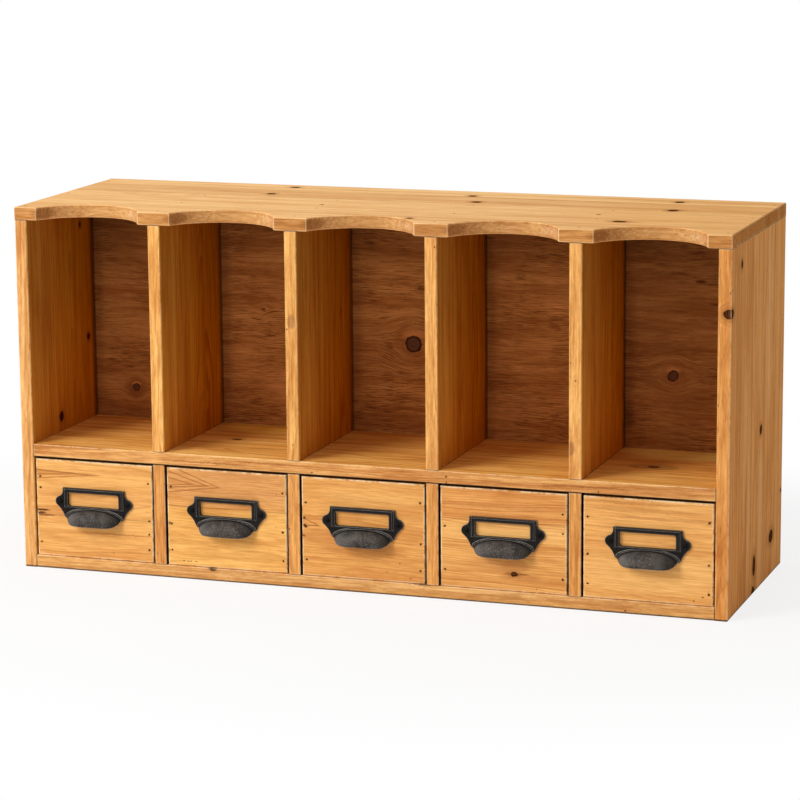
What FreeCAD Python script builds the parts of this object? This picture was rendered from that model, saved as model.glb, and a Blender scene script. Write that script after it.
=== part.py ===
"""Pine envelope sorter: five pigeonholes under a scalloped top, over five small drawers.

Lengths are in millimetres.  The origin is the centre of the underside, +X runs to the right
as one faces the drawers, +Y runs from the front to the back, and +Z is up.  Each entry of
NODES becomes one STEP file: a single solid, or a group of identical fasteners.
"""
import FreeCAD, Part

import math
import os

Vector = FreeCAD.Vector

# ---- carcass ---------------------------------------------------------------------------
width = 680.0              # over the two sides
height = 343.0             # floor to the upper face of the top board
depth = 220.0              # front edges to rear edges
board = 12.0               # thickness of every solid pine board of the carcass
bays = 5                   # pigeonholes side by side, each with a drawer under it
drawer_bay_height = 95.0   # clear height between the bottom board and the shelf
interior_depth = 145.0     # front edge to the face of the back panel
edge_ease = 0.8            # chamfer that takes the sharp arris off exposed edges

scallop_depth = 35.0       # how far each finger scallop reaches into the top board
scallop_land = 10.0        # straight front edge left beside each divider face

panel_thickness = 4.0      # plywood back panel
panel_groove = 5.0         # depth of the groove that holds it in top, bottom and sides
panel_play = 0.3           # free space left between the panel's edge and the groove's floor
groove_play = 0.1          # free space on each face of a panel in its groove

# ---- drawers ---------------------------------------------------------------------------
drawer_side_gap = 1.5      # between a drawer and the divider on each side
drawer_top_gap = 2.0       # between a drawer front and the shelf
drawer_running_gap = 0.3   # under the drawer, on the bottom board
drawer_recess = 1.0        # how far the drawer fronts sit behind the front edges
drawer_stop_gap = 0.3      # between the closed drawer and the back panel
front_thickness = 10.0
wall = 8.0                 # thickness of a drawer's sides and back
wall_drop = 6.0            # how far the sides stay below the top of the front
tray_thickness = 3.0       # plywood drawer bottom
tray_groove = 4.0          # depth of the groove that holds it
tray_rise = 5.0            # underside of the drawer to the underside of its plywood bottom
tray_play = 0.2            # free space at each edge of the plywood bottom

# ---- cast-iron label pull --------------------------------------------------------------
pull_drop = 25.8           # top of the drawer front down to the top of the label frame
plate_thickness = 1.6
frame_width = 59.8         # over the raised label frame
frame_height = 18.9
frame_raise = 3.4          # drawer front to the face of the frame
frame_chamfer = 1.0        # round the outside of the frame
window_chamfer = 0.4       # round the window
window_width = 51.6
window_height = 13.2
window_drop = 4.1          # top of the frame down to the window, whose border is thinner below
window_radius = 2.0
ear_spacing = 68.4         # between the two screws
ear_drop = 13.2            # top of the frame down to the screws
ear_radius = 5.0
neck = 31.6                # half width of the plate above the ears
hollow_upper = 6.0         # radius of the curve from the neck into the ear
hollow_lower = 22.0        # radius of the curve from the ear down to the plate's corner
plate_corner = 3.6         # radius
plate_foot = 27.0          # half width of the plate's lower edge, between its corners
plate_drop = 29.2          # top of the frame down to the plate's lower edge
hood_half_width = 28.0     # at the plate
hood_foot_drop = 27.5      # top of the frame down to the ends of the hood's arch
hood_crown_drop = 19.4     # top of the frame down to the crown of the hood
hood_lip_drop = 34.4       # top of the frame down to the lip
hood_reach = 13.0          # drawer front to the lip
hood_wall = 1.8
hood_taper = 0.225         # how the hood narrows towards the lip: 0 would keep it as wide
hood_rim_curl = 2.0        # how fast the rim drops from the plate to the level of the lip
hood_turns = (0, 15, 30, 45, 60, 72, 80)   # degrees round the hood, from plate to lip
hollow_turns = (0, 15, 30, 45, 60, 70)     # the same inside, which stops short of the lip
bead_width = 1.1           # step where the hood meets the plate
bead_raise = 0.7

# ---- fasteners -------------------------------------------------------------------------
fit = 0.02                 # radial clearance of every fastener in its hole
nail_radius = 0.8
nail_length = 32.0         # finish nails, driven flush
nail_front_inset = 12.0    # first nail of each row, from the front edges
nail_rear_inset = 20.0     # last nail of each row, from the back panel or the rear edges
nails_per_divider = 3
nails_per_side = 3
dowel_radius = 3.0
dowel_length = 22.0
dowel_in_side = 8.0        # how deep a dowel sits in the side board
dowel_inset = 30.0         # first and last dowel of a row, from the board's edges
dowels_per_row = 3
panel_pin_radius = 0.7
panel_pin_length = 16.0
panel_pin_inset = 40.0     # from the ends of each divider
brad_radius = 0.6
brad_length = 24.0
brad_margin = 2.5          # least distance from a brad's axis to the edge of its joint
# How far up its joint each brad sits, from 0 at the foot to 1 at the top.  The fronts are
# nailed by hand, so no two are alike: for each drawer, its left side and its right side.
front_brads = (
    ((0.03, 0.74, 0.89), (0.02, 0.22, 0.40, 0.88)),
    ((0.05, 0.39, 0.87), (0.01, 0.38, 0.88)),
    ((0.06, 0.48, 0.79), (0.02, 0.36, 0.88)),
    ((0.07, 0.62), (0.05, 0.62, 0.86)),
    ((0.03, 0.40, 0.86), (0.00, 0.36, 0.88)),
)
back_brads = (0.20, 0.80)  # the same, for the brads from each side into the back
screw_radius = 1.4
screw_length = 10.0        # under the head, through the plate and into the front
screw_head_radius = 2.6
screw_head_height = 1.4
screw_slot_width = 0.7
screw_slot_depth = 0.6

# ---- places that follow from the sizes above -------------------------------------------
left = -width / 2
right = width / 2
front = -depth / 2
rear = depth / 2
under_top = height - board
shelf_under = board + drawer_bay_height
shelf_top = shelf_under + board
panel_face = front + interior_depth
panel_rear = panel_face + panel_thickness
inner_left = left + board
inner_right = right - board
bay_pitch = (width - board) / bays
bay_width = bay_pitch - board

X = Vector(1, 0, 0)
Y = Vector(0, 1, 0)
Z = Vector(0, 0, 1)
rounding = 1e-4            # two lengths nearer than this are the same


def bay_centre(bay):
    """X of the middle of bay 1, 2, 3 ..."""
    return left + board / 2 + (bay - 0.5) * bay_pitch


def divider_centre(divider):
    """X of the middle of divider 1, 2, 3 ..."""
    return left + board / 2 + divider * bay_pitch


def spaced(first, last, count):
    """Evenly spaced places from first to last, both included."""
    step = (last - first) / (count - 1)
    return [first + step * index for index in range(count)]


# ---- small helpers ---------------------------------------------------------------------
def block(x0, x1, y0, y1, z0, z1):
    """Box between two opposite corners."""
    return Part.makeBox(x1 - x0, y1 - y0, z1 - z0, Vector(x0, y0, z0))


def at(value, place):
    """True where two lengths are the same."""
    return abs(value - place) < rounding


def eased(shape, wanted):
    """Chamfer each edge whose bounding box answers wanted()."""
    edges = [edge for edge in shape.Edges if wanted(edge.BoundBox)]
    return shape.makeChamfer(edge_ease, edges)


def pin_maker(radius, length):
    """Maker of round pins that start at a point and run along a direction.

    A pin with extra is its own hole: wider and longer by that much.
    """
    def make(point, direction, extra=0.0):
        return Part.makeCylinder(radius + extra, length + extra, point, direction)
    return make


nail = pin_maker(nail_radius, nail_length)
dowel = pin_maker(dowel_radius, dowel_length)
panel_pin = pin_maker(panel_pin_radius, panel_pin_length)
brad = pin_maker(brad_radius, brad_length)


def drilled(shape, fasteners):
    """Cut the hole of every (maker, point, direction) fastener that reaches the shape."""
    holes = [maker(point, direction, fit) for maker, point, direction in fasteners]
    reaching = [hole for hole in holes if shape.BoundBox.intersect(hole.BoundBox)]
    return shape.cut(reaching) if reaching else shape


def group(fasteners):
    """The fasteners themselves, as one group of separate solids."""
    return Part.makeCompound([maker(point, direction) for maker, point, direction in fasteners])


# ---- where the carcass fasteners go ----------------------------------------------------
def top_nail_places():
    """Nails down through the top board, into the dividers and the sides."""
    over_dividers = spaced(front + nail_front_inset, panel_face - nail_rear_inset,
                           nails_per_divider)
    over_sides = spaced(front + nail_front_inset, rear - nail_rear_inset, nails_per_side)
    places = [(divider_centre(n), y) for n in range(1, bays) for y in over_dividers]
    places += [(x, y) for x in (left + board / 2, right - board / 2) for y in over_sides]
    return [(nail, Vector(x, y, height), -Z) for x, y in places]


def divider_nail_places():
    """Nails into the lower dividers: up through the bottom board, down through the shelf."""
    rows = (front + nail_front_inset, panel_face - nail_rear_inset)
    places = []
    for divider in range(1, bays):
        for y in rows:
            places.append((nail, Vector(divider_centre(divider), y, 0), Z))
            places.append((nail, Vector(divider_centre(divider), y, shelf_top), -Z))
    return places


def side_dowel_places():
    """Hidden dowels from each side board into the ends of the bottom board and the shelf."""
    bottom_row = spaced(front + dowel_inset, rear - dowel_inset, dowels_per_row)
    shelf_row = spaced(front + dowel_inset, panel_face - dowel_inset, dowels_per_row)
    rows = [(y, board / 2) for y in bottom_row]
    rows += [(y, shelf_under + board / 2) for y in shelf_row]
    places = []
    for y, z in rows:
        places.append((dowel, Vector(inner_left - dowel_in_side, y, z), X))
        places.append((dowel, Vector(inner_right + dowel_in_side, y, z), -X))
    return places


def panel_pin_places():
    """Pins from behind, through the back panel into the shelf and the dividers."""
    places = [(bay_centre(bay), shelf_under + board / 2) for bay in range(1, bays + 1)]
    for divider in range(1, bays):
        for z in (shelf_top + panel_pin_inset, under_top - panel_pin_inset):
            places.append((divider_centre(divider), z))
    return [(panel_pin, Vector(x, panel_rear, z), -Y) for x, z in places]


top_nails = top_nail_places()
divider_nails = divider_nail_places()
side_dowels = side_dowel_places()
panel_pins = panel_pin_places()
carcass_fasteners = top_nails + divider_nails + side_dowels + panel_pins


# ---- carcass boards --------------------------------------------------------------------
def top_board():
    """Board laid over the sides, its front edge cut with one round scallop per bay."""
    half_chord = bay_width / 2 - scallop_land
    corner = Vector(left, front, under_top)
    edges = [Part.LineSegment(Vector(left, rear, under_top), corner).toShape()]
    for bay in range(1, bays + 1):
        start = Vector(bay_centre(bay) - half_chord, front, under_top)
        crown = Vector(bay_centre(bay), front + scallop_depth, under_top)
        end = Vector(bay_centre(bay) + half_chord, front, under_top)
        edges.append(Part.LineSegment(corner, start).toShape())
        edges.append(Part.Arc(start, crown, end).toShape())
        corner = end
    front_right = Vector(right, front, under_top)
    rear_right = Vector(right, rear, under_top)
    edges.append(Part.LineSegment(corner, front_right).toShape())
    edges.append(Part.LineSegment(front_right, rear_right).toShape())
    edges.append(Part.LineSegment(rear_right, Vector(left, rear, under_top)).toShape())
    blank = Part.Face(Part.Wire(edges)).extrude(Z * board)

    def exposed(box):
        upper = at(box.ZMin, height)
        under = at(box.ZMax, under_top) and box.YMax < rear
        return upper or under

    blank = eased(blank, exposed)
    groove = block(inner_left - panel_groove, inner_right + panel_groove,
                   panel_face - groove_play, panel_rear + groove_play,
                   under_top, under_top + panel_groove)
    return drilled(blank.cut(groove), carcass_fasteners)


def side_board(outer, inner):
    """Side that stands on the floor and carries the top; outer and inner are its X faces."""
    blank = block(min(outer, inner), max(outer, inner), front, rear, 0, under_top)

    def exposed(box):
        upright = box.ZLength > board and at(box.XMin, box.XMax)
        foot = at(box.ZMax, 0) and at(box.XMin, outer) and at(box.XMax, outer)
        return upright or foot

    blank = eased(blank, exposed)
    floor = inner + math.copysign(panel_groove, outer)
    groove = block(min(floor, inner), max(floor, inner),
                   panel_face - groove_play, panel_rear + groove_play,
                   board - panel_groove, under_top)
    return drilled(blank.cut(groove), carcass_fasteners)


def bottom_board():
    """Board between the sides; the drawers slide on it."""
    blank = block(inner_left, inner_right, front, rear, 0, board)
    blank = eased(blank, lambda box: at(box.YMin, box.YMax) and box.XLength > board)
    groove = block(inner_left, inner_right, panel_face - groove_play,
                   panel_rear + groove_play, board - panel_groove, board)
    return drilled(blank.cut(groove), carcass_fasteners)


def middle_shelf():
    """Shelf between the sides: floor of the pigeonholes and roof of the drawers."""
    blank = block(inner_left, inner_right, front, panel_face, shelf_under, shelf_top)
    blank = eased(blank, lambda box: at(box.YMax, front) and box.XLength > board)
    return drilled(blank, carcass_fasteners)


def divider(number, z0, z1):
    """Upright between two bays, from z0 to z1."""
    x = divider_centre(number)
    blank = block(x - board / 2, x + board / 2, front, panel_face, z0, z1)
    blank = eased(blank, lambda box: at(box.YMax, front) and box.ZLength > board)
    return drilled(blank, carcass_fasteners)


def back_panel():
    """Plywood panel held in grooves all round and pinned to shelf and dividers."""
    reach = panel_groove - panel_play
    blank = block(inner_left - reach, inner_right + reach, panel_face, panel_rear,
                  board - reach, under_top + reach)
    return drilled(blank, carcass_fasteners)


# ---- label pull ------------------------------------------------------------------------
# The pull is built at the origin: its back on the plane Y = 0, its front towards -Y, and the
# top of its label frame at Z = 0.  place_pull() moves it on to a drawer front.
def pull_point(x, z, out=0.0):
    return Vector(x, -out, z)


def outer_meeting(first, first_reach, second, second_reach):
    """Point at the given distances from two points of the plate, on their outer side."""
    span = second - first
    along = (first_reach ** 2 - second_reach ** 2 + span.Length ** 2) / (2 * span.Length)
    across = math.sqrt(first_reach ** 2 - along ** 2)
    span.normalize()
    return first + span * along + span.cross(Y) * across


def plate_outline():
    """Plate with an ear on each side.

    One hollow curve leads from the upright neck into each round ear, and a long one from
    the ear to the round corner at the foot.
    """
    ear = pull_point(ear_spacing / 2, -ear_drop)
    corner = pull_point(plate_foot, plate_corner - plate_drop)
    across = neck + hollow_upper - ear.x
    rise = math.sqrt((hollow_upper + ear_radius) ** 2 - across ** 2)
    upper = pull_point(neck + hollow_upper, ear.z + rise)
    lower = outer_meeting(ear, ear_radius + hollow_lower, corner, plate_corner + hollow_lower)

    def towards(centre, target, distance):
        return centre + (target - centre).normalize() * distance

    def middle(centre, first, second):
        """Point half way along the arc about centre from first to second."""
        radius = (first - centre).Length
        return towards(centre, (first + second) * 0.5, radius)

    upper_start = pull_point(neck, upper.z)
    upper_end = towards(upper, ear, hollow_upper)
    lower_start = towards(lower, ear, hollow_lower)
    lower_end = towards(lower, corner, hollow_lower)
    tip = pull_point(ear.x + ear_radius, ear.z)
    foot = pull_point(plate_foot, -plate_drop)
    half = [
        Part.LineSegment(pull_point(0, 0), pull_point(neck, 0)),
        Part.LineSegment(pull_point(neck, 0), upper_start),
        Part.Arc(upper_start, middle(upper, upper_start, upper_end), upper_end),
        Part.Arc(upper_end, tip, lower_start),
        Part.Arc(lower_start, middle(lower, lower_start, lower_end), lower_end),
        Part.Arc(lower_end, middle(corner, lower_end, foot), foot),
        Part.LineSegment(foot, pull_point(0, -plate_drop)),
    ]
    right_half = Part.Wire([edge.toShape() for edge in half])
    left_half = right_half.mirror(Vector(0, 0, 0), X)
    return Part.Face(Part.Wire(Part.sortEdges(right_half.Edges + left_half.Edges)[0]))


def label_frame():
    """Raised border round the card window, chamfered outside and inside."""
    border = block(-frame_width / 2, frame_width / 2, -frame_raise, 0, -frame_height, 0)
    window = block(-window_width / 2, window_width / 2, -frame_raise, 0,
                   -window_drop - window_height, -window_drop)
    through = [edge for edge in window.Edges if edge.BoundBox.YLength > frame_raise / 2]
    window = window.makeFillet(window_radius, through)
    face_edges = [edge for edge in border.Edges if at(edge.BoundBox.YMax, -frame_raise)]
    border = border.makeChamfer(frame_chamfer, face_edges).cut(window)
    window_edges = [edge for edge in border.Edges
                    if at(edge.BoundBox.YMax, -frame_raise)
                    and at(edge.distToShape(window)[0], 0)]
    return border.makeChamfer(window_chamfer, window_edges), window


def arch(spread, rim, crown, out):
    """Half ellipse that springs at the rim, from right to left over the crown."""
    spring = pull_point(0, rim, out)
    curve = Part.Ellipse(pull_point(spread, rim, out), pull_point(0, crown, out), spring)
    return Part.ArcOfEllipse(curve, 0, math.pi).toShape()


def hood_section(angle, inset):
    """Outline of the hood at one reach from the plate: an arch, closed under it.

    The angle runs from 0 at the plate to 90 degrees at the lip.  The outer skin has no
    inset.  The inner skin is inset by the wall and drops below the rim, to open the hood.
    """
    sine = math.sin(math.radians(angle))
    cosine = math.cos(math.radians(angle))
    out = plate_thickness + (hood_reach - plate_thickness - inset) * sine
    spread = hood_half_width * (1 - sine) ** hood_taper - inset
    crown = -hood_lip_drop + (hood_lip_drop - hood_crown_drop) * cosine - inset
    rim = -hood_lip_drop + (hood_lip_drop - hood_foot_drop) * (1 - sine) ** hood_rim_curl
    ends = (pull_point(-spread, rim, out), pull_point(spread, rim, out))
    over = arch(spread, rim, crown, out)
    if inset == 0:
        return Part.Wire([over, Part.LineSegment(ends[0], ends[1]).toShape()])
    floor = -hood_lip_drop - hood_wall
    feet = (pull_point(-spread, floor, out), pull_point(spread, floor, out))
    lines = ((ends[0], feet[0]), (feet[0], feet[1]), (feet[1], ends[1]))
    return Part.Wire([over] + [Part.LineSegment(*line).toShape() for line in lines])


def hood():
    """Finger hood: a thin shell lofted from a wide arch at the plate to a narrower lip."""
    outer = Part.makeLoft([hood_section(turn, 0) for turn in hood_turns], True)
    inner = Part.makeLoft([hood_section(turn, hood_wall) for turn in hollow_turns], True)
    return outer, inner


def hood_bead():
    """Low step that follows the arch where the hood rises from the plate."""
    spread = hood_half_width + bead_width
    over = arch(spread, -hood_foot_drop, -hood_crown_drop + bead_width, 0)
    ends = (pull_point(-spread, -hood_foot_drop), pull_point(spread, -hood_foot_drop))
    chord = Part.LineSegment(*ends).toShape()
    return Part.Face(Part.Wire([over, chord])).extrude(-Y * (plate_thickness + bead_raise))


def label_pull():
    """One casting: eared plate, label frame and finger hood."""
    plate = plate_outline().extrude(-Y * plate_thickness)
    frame, window = label_frame()
    outer, inner = hood()
    casting = plate.cut(window).fuse([frame, hood_bead(), outer]).cut(inner)
    holes = [screw_shank(side, fit) for side in (-1, 1)]
    return casting.cut(holes).removeSplitter()


def screw_shank(side, extra=0.0):
    """Straight part of a pull screw, from the plate's face into the drawer front."""
    point = pull_point(side * ear_spacing / 2, -ear_drop, plate_thickness)
    return Part.makeCylinder(screw_radius + extra, screw_length + extra, point, Y)


def pull_screw(side):
    """Slotted screw with a low round head on the plate."""
    seat = pull_point(side * ear_spacing / 2, -ear_drop, plate_thickness)
    rim = seat + X * screw_head_radius
    crown = seat - Y * screw_head_height
    sphere_radius = (screw_head_radius ** 2 + screw_head_height ** 2) / (2 * screw_head_height)
    centre = crown + Y * sphere_radius
    half_way = centre + ((rim + crown) * 0.5 - centre).normalize() * sphere_radius
    profile = Part.Wire([
        Part.LineSegment(seat, rim).toShape(),
        Part.Arc(rim, half_way, crown).toShape(),
        Part.LineSegment(crown, seat).toShape(),
    ])
    head = Part.Face(profile).revolve(seat, Y, 360)
    slot = block(seat.x - screw_head_radius, seat.x + screw_head_radius,
                 crown.y, crown.y + screw_slot_depth,
                 seat.z - screw_slot_width / 2, seat.z + screw_slot_width / 2)
    return head.fuse(screw_shank(side)).cut(slot).removeSplitter()


# ---- drawers ---------------------------------------------------------------------------
def drawer(bay):
    """The pieces of one drawer, by the name each has within it."""
    x0 = bay_centre(bay) - bay_width / 2 + drawer_side_gap
    x1 = bay_centre(bay) + bay_width / 2 - drawer_side_gap
    y0 = front + drawer_recess
    y1 = panel_face - drawer_stop_gap
    z0 = board + drawer_running_gap
    z1 = shelf_under - drawer_top_gap
    wall_y = y0 + front_thickness
    wall_top = z1 - wall_drop
    tray_z = z0 + tray_rise
    tray_top = tray_z + tray_thickness

    joint_foot = tray_top + groove_play + brad_margin
    joint_top = wall_top - brad_margin

    def brad_height(share):
        return joint_foot + (joint_top - joint_foot) * share

    brads = []
    by_side = front_brads[(bay - 1) % len(front_brads)]
    for x, shares in zip((x0 + wall / 2, x1 - wall / 2), by_side):
        brads += [(brad, Vector(x, y0, brad_height(share)), Y) for share in shares]
    for share in back_brads:
        brads.append((brad, Vector(x0, y1 - wall / 2, brad_height(share)), X))
        brads.append((brad, Vector(x1, y1 - wall / 2, brad_height(share)), -X))

    groove = block(x0 + wall - tray_groove, x1 - wall + tray_groove,
                   wall_y - tray_groove, y1,
                   tray_z - groove_play, tray_top + groove_play)
    place = Vector(bay_centre(bay), y0, z1 - pull_drop)
    screw_holes = [screw_shank(side, fit).translated(place) for side in (-1, 1)]

    face = block(x0, x1, y0, wall_y, z0, z1)
    face = eased(face, lambda box: at(box.YMax, y0))
    return {
        "front": drilled(face.cut([groove] + screw_holes), brads),
        "left_side": drilled(block(x0, x0 + wall, wall_y, y1, z0, wall_top).cut(groove), brads),
        "right_side": drilled(block(x1 - wall, x1, wall_y, y1, z0, wall_top).cut(groove), brads),
        "back": drilled(block(x0 + wall, x1 - wall, y1 - wall, y1,
                              tray_top + groove_play, wall_top), brads),
        "bottom": block(x0 + wall - tray_groove + tray_play, x1 - wall + tray_groove - tray_play,
                        wall_y - tray_groove + tray_play, y1, tray_z, tray_top),
        "pull": label_pull().translated(place),
        "pull_screws": Part.makeCompound(
            [pull_screw(side).translated(place) for side in (-1, 1)]),
        "brads": group(brads),
    }


# ---- every piece, by name --------------------------------------------------------------
NODES = {
    "top_board": top_board(),
    "left_side": side_board(left, inner_left),
    "right_side": side_board(right, inner_right),
    "bottom_board": bottom_board(),
    "middle_shelf": middle_shelf(),
    "back_panel": back_panel(),
    "top_nails": group(top_nails),
    "divider_nails": group(divider_nails),
    "side_dowels": group(side_dowels),
    "back_panel_pins": group(panel_pins),
}
for number in range(1, bays):
    NODES[f"upper_divider_{number}"] = divider(number, shelf_top, under_top)
    NODES[f"lower_divider_{number}"] = divider(number, board, shelf_under)
for bay in range(1, bays + 1):
    for piece, shape in drawer(bay).items():
        NODES[f"drawer_{bay}_{piece}"] = shape

os.makedirs("parts", exist_ok=True)
for name, shape in NODES.items():
    shape.exportStep(f"parts/{name}.step")
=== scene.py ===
"""Dressing of the pine envelope sorter: solid-wood grain, plywood, cast iron and steel.

Every wood material is worked out in space, so the year rings run on from a face to the end
grain beside it.  Lengths are in millimetres, in the row frame, unless a name ends in _m:
those are metres, like Blender's own.  Colours are linear red, green and blue.
"""
import math
import random

import bpy
from mathutils import Matrix, Vector


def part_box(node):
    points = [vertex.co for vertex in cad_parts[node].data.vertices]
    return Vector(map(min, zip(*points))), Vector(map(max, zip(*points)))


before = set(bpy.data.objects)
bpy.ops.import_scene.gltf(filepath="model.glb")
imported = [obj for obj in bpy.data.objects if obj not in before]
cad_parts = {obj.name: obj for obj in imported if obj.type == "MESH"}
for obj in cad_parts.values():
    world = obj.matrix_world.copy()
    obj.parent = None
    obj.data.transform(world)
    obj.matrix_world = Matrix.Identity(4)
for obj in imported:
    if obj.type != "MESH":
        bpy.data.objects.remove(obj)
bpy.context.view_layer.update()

MM = 0.001

# ---- sizes of the sorter that the materials follow ----
WIDTH = 680.0
FRONT = -110.0           # front edges of the carcass
BACK = 110.0
TOP = 343.0
BOARD = 12.0
BAYS = 5
BAY_PITCH = (WIDTH - BOARD) / BAYS
UPRIGHTS = [-WIDTH / 2 + BOARD / 2 + number * BAY_PITCH for number in range(BAYS + 1)]
BAY_MIDDLES = [(UPRIGHTS[bay] + UPRIGHTS[bay + 1]) / 2 for bay in range(BAYS)]
SCALLOP_HALF_CHORD = 50.8
SHELF_BOTTOM = 107.0
SHELF_TOP = SHELF_BOTTOM + BOARD
PANEL_FACE = 35.0        # front of the back panel
PANEL_DEEP = 3.0         # how deep marks on it go: not as far as its back
DRAWER_FACE = -109.0     # front of the drawers
MARK_DEEP = 9            # how deep marks on a drawer front go
PULL_FACE = -110.6       # front of the pulls' plates
HOOD_CROWN = 59.8        # highest line of the pulls' finger hoods
HOOD_HALF = 28.0         # half the width of a finger hood
HEAD_SPOT = 1.3          # half size of the dark spot round a nail head
HEAD_APART = 4.0         # points nearer than this belong to one nail head
ON_LEVEL = 0.3           # points nearer to a level than this lie on it
FRONT_DOT = (0.9, 2, 0.9)    # half sizes of a small hole in a front edge
FLOOR_WHITE = 0.80       # plain white in the floor by the sorter: it thins the shadow


# ---- a short way to write node trees ----
class Graph:
    """A node tree.

    node adds a node and returns it, and feed sets or links one of its inputs.  The others
    add one node each and return its output socket; split and call return all its outputs.
    """

    def __init__(self, tree):
        self.tree = tree

    def feed(self, socket, value):
        if isinstance(value, bpy.types.NodeSocket):
            self.tree.links.new(value, socket)
        else:
            socket.default_value = value

    def node(self, kind, inputs, **settings):
        made = self.tree.nodes.new("ShaderNode" + kind)
        for name, value in settings.items():
            setattr(made, name, value)
        for name, value in inputs.items():
            self.feed(made.inputs[name], value)
        return made

    def math(self, operation, a, b=0.0, third=0.0, clamp=False):
        made = self.node("Math", {0: a, 1: b, 2: third}, operation=operation,
                         use_clamp=clamp)
        return made.outputs[0]

    def plus(self, a, b):
        return self.math("ADD", a, b)

    def minus(self, a, b, clamp=False):
        return self.math("SUBTRACT", a, b, clamp=clamp)

    def times(self, a, b, clamp=False):
        return self.math("MULTIPLY", a, b, clamp=clamp)

    def least(self, a, b):
        return self.math("MINIMUM", a, b)

    def most(self, a, b):
        return self.math("MAXIMUM", a, b)

    def vector(self, operation, a, b=(0.0, 0.0, 0.0)):
        return self.node("VectorMath", {0: a, 1: b}, operation=operation).outputs[0]

    def scaled(self, a, factor):
        return self.node("VectorMath", {0: a, "Scale": factor}, operation="SCALE").outputs[0]

    def length(self, a):
        return self.node("VectorMath", {0: a}, operation="LENGTH").outputs["Value"]

    def dot(self, a, b):
        made = self.node("VectorMath", {0: a, 1: b}, operation="DOT_PRODUCT")
        return made.outputs["Value"]

    def split(self, a):
        return self.node("SeparateXYZ", {0: a}).outputs

    def join(self, x, y, z):
        return self.node("CombineXYZ", {0: x, 1: y, 2: z}).outputs[0]

    def noise(self, place, detail=2.0, roughness=0.5, scale=1.0):
        made = self.node("TexNoise", {"Vector": place, "Scale": scale, "Detail": detail,
                                      "Roughness": roughness})
        return made.outputs["Fac"]

    def ramp(self, value, low, high, start=0.0, end=1.0):
        """Smooth step from start to end while the value goes from low to high."""
        made = self.node("MapRange", {0: value, 1: low, 2: high, 3: start, 4: end},
                         interpolation_type="SMOOTHSTEP")
        return made.outputs[0]

    def mix(self, share, a, b, blend="MIX"):
        """Colour a, blended with colour b by share; a triple is taken as opaque."""
        made = self.tree.nodes.new("ShaderNodeMix")
        made.data_type = "RGBA"
        made.blend_type = blend
        self.feed(made.inputs[0], share)
        for socket, colour in ((6, a), (7, b)):
            if isinstance(colour, tuple):
                colour = (*colour, 1)
            self.feed(made.inputs[socket], colour)
        return made.outputs[2]

    def call(self, group, inputs):
        made = self.tree.nodes.new("ShaderNodeGroup")
        made.node_tree = group
        for name, value in inputs.items():
            self.feed(made.inputs[name], value)
        return made.outputs


def new_group(name, inputs, outputs):
    """Empty node group; returns its graph, the sockets it is given and its results."""
    group = bpy.data.node_groups.new(name, "ShaderNodeTree")
    for label, kind in inputs.items():
        group.interface.new_socket(label, in_out="INPUT", socket_type="NodeSocket" + kind)
    for label, kind in outputs.items():
        group.interface.new_socket(label, in_out="OUTPUT", socket_type="NodeSocket" + kind)
    given = group.nodes.new("NodeGroupInput").outputs
    result = group.nodes.new("NodeGroupOutput").inputs
    return Graph(group), given, result


# ---- shared node groups ----
def grain_group():
    """Figure of pine round a pith that runs along the local X; all outputs go from 0 to 1."""
    graph, given, result = new_group(
        "pine_grain",
        {"Place": "Vector", "Push": "Float", "Ring": "Float", "Seed": "Float"},
        {"Late": "Float", "Fibre": "Float", "Hair": "Float", "Streak": "Float",
         "Cloud": "Float", "Fleck": "Float"})
    place = given["Place"]
    drift = graph.join(given["Seed"], graph.times(given["Seed"], 1.7), 0.0)

    def field(along, across, detail, roughness=0.5):
        """Noise stretched along the grain; along and across are its sizes."""
        size = (1 / along, 1 / across, 1 / across)
        return graph.noise(graph.vector("ADD", graph.vector("MULTIPLY", place, size), drift),
                           detail, roughness)

    def centred(value, reach):
        return graph.times(graph.minus(value, 0.5), reach)

    # Years: rings round the pith that drift, and are unevenly wide.
    axes = graph.split(place)
    radius = graph.length(graph.join(0.0, axes[1], axes[2]))
    radius = graph.plus(radius, centred(field(260, 70, 2), 24))
    radius = graph.plus(radius, centred(field(70, 9, 2), 1.5))
    radius = graph.plus(radius, given["Push"])
    years = graph.math("DIVIDE", radius, given["Ring"])
    uneven = graph.noise(graph.join(graph.times(years, 0.4), given["Seed"], 0.0), 1)
    years = graph.plus(years, graph.times(uneven, 2.2))

    # Each year ends in a dark line with a strength of its own.
    within = graph.math("FRACT", years)
    year = graph.math("FLOOR", years)
    strength = graph.node("TexWhiteNoise", {"W": graph.plus(year, given["Seed"])},
                          noise_dimensions="1D").outputs["Value"]
    strength = graph.plus(graph.math("POWER", strength, 2.0), 0.22)
    rise = graph.ramp(within, 0.35, 0.92)
    fall = graph.ramp(within, 0.93, 1.0, 1.0, 0.0)
    late = graph.times(graph.times(rise, fall), strength, clamp=True)
    graph.feed(result["Late"], late)
    graph.feed(result["Fibre"], field(20, 0.75, 2, 0.6))
    graph.feed(result["Hair"], field(80, 1.6, 3, 0.7))
    graph.feed(result["Streak"], field(260, 5.0, 3, 0.6))
    graph.feed(result["Cloud"], field(90, 26, 3, 0.6))
    graph.feed(result["Fleck"], graph.ramp(field(7, 0.55, 2, 0.6), 0.64, 0.74))
    return graph.tree


def spot_group():
    """Distance from a spot's centre, as a share of the spot's size."""
    graph, given, result = new_group(
        "spot", {"Place": "Vector", "Centre": "Vector", "Size": "Vector"},
        {"Distance": "Float"})
    offset = graph.vector("SUBTRACT", given["Place"], given["Centre"])
    graph.feed(result["Distance"],
               graph.length(graph.vector("DIVIDE", offset, given["Size"])))
    return graph.tree


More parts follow.
